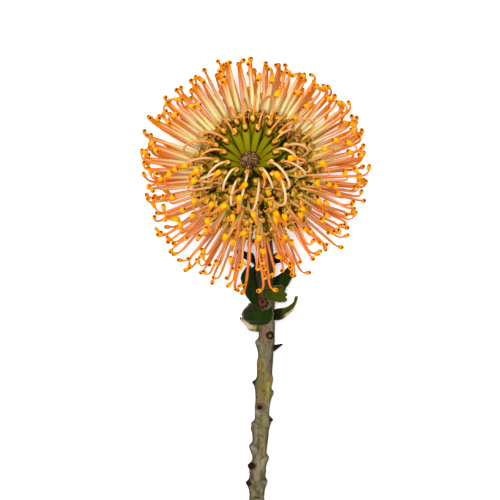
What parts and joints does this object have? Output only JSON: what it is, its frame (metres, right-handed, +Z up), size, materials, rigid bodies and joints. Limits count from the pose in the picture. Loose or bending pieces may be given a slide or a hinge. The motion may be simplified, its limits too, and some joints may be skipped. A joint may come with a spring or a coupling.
{
  "type": "pincushion protea flower",
  "caption": "Cut pincushion protea flower lying down: a round orange head of hooked, pin-like styles on a bent woody stem with a few toothed leaves below it.",
  "frame": {"origin": "centre of the bounding box's bottom face, on the surface that the flower lies on", "axes": "+Z up from the surface; +Y along the lying stem, from its cut end towards the flower head; +X to the right of the head as seen from above"},
  "size_m": [0.1144, 0.232, 0.0829],
  "materials": {
    "stem": "matte, grey-green bark with tan leaf scars",
    "leaf": "satin, leathery, with pale dry margins",
    "bract": "matte, woolly",
    "perianth": "matte, hairy, cream and yellow-green outside and maroon inside",
    "shut_perianth": "satin green tubes with hairy purple limbs",
    "style": "satin, cream at the foot, salmon in the middle and orange at the tip",
    "presenter": "satin, yellow with a dark red stigma",
    "centre": "matte, felted, purple-brown"
  },
  "bodies": {
    "root": {"stem": "stem", "involucre": "bract", "perianths_row_1": "perianth", "perianths_row_2": "perianth", "perianths_row_3": "perianth", "perianths_row_4": "perianth", "perianths_row_5": "perianth", "perianths_row_6": "perianth", "perianths_row_7": "perianth", "styles_row_1": "style", "styles_row_2": "style", "styles_row_3": "style", "styles_row_4": "style", "styles_row_5": "style", "styles_row_6": "style", "shut_perianths": "shut_perianth", "looped_styles": "style", "centre_buds": "centre", "leaf_front": "leaf", "leaf_right": "leaf", "leaf_left": "leaf", "leaf_middle": "leaf", "leaf_upper_right": "leaf", "leaf_upper_left": "leaf", "leaf_behind": "leaf"}
  },
  "joints": []
}
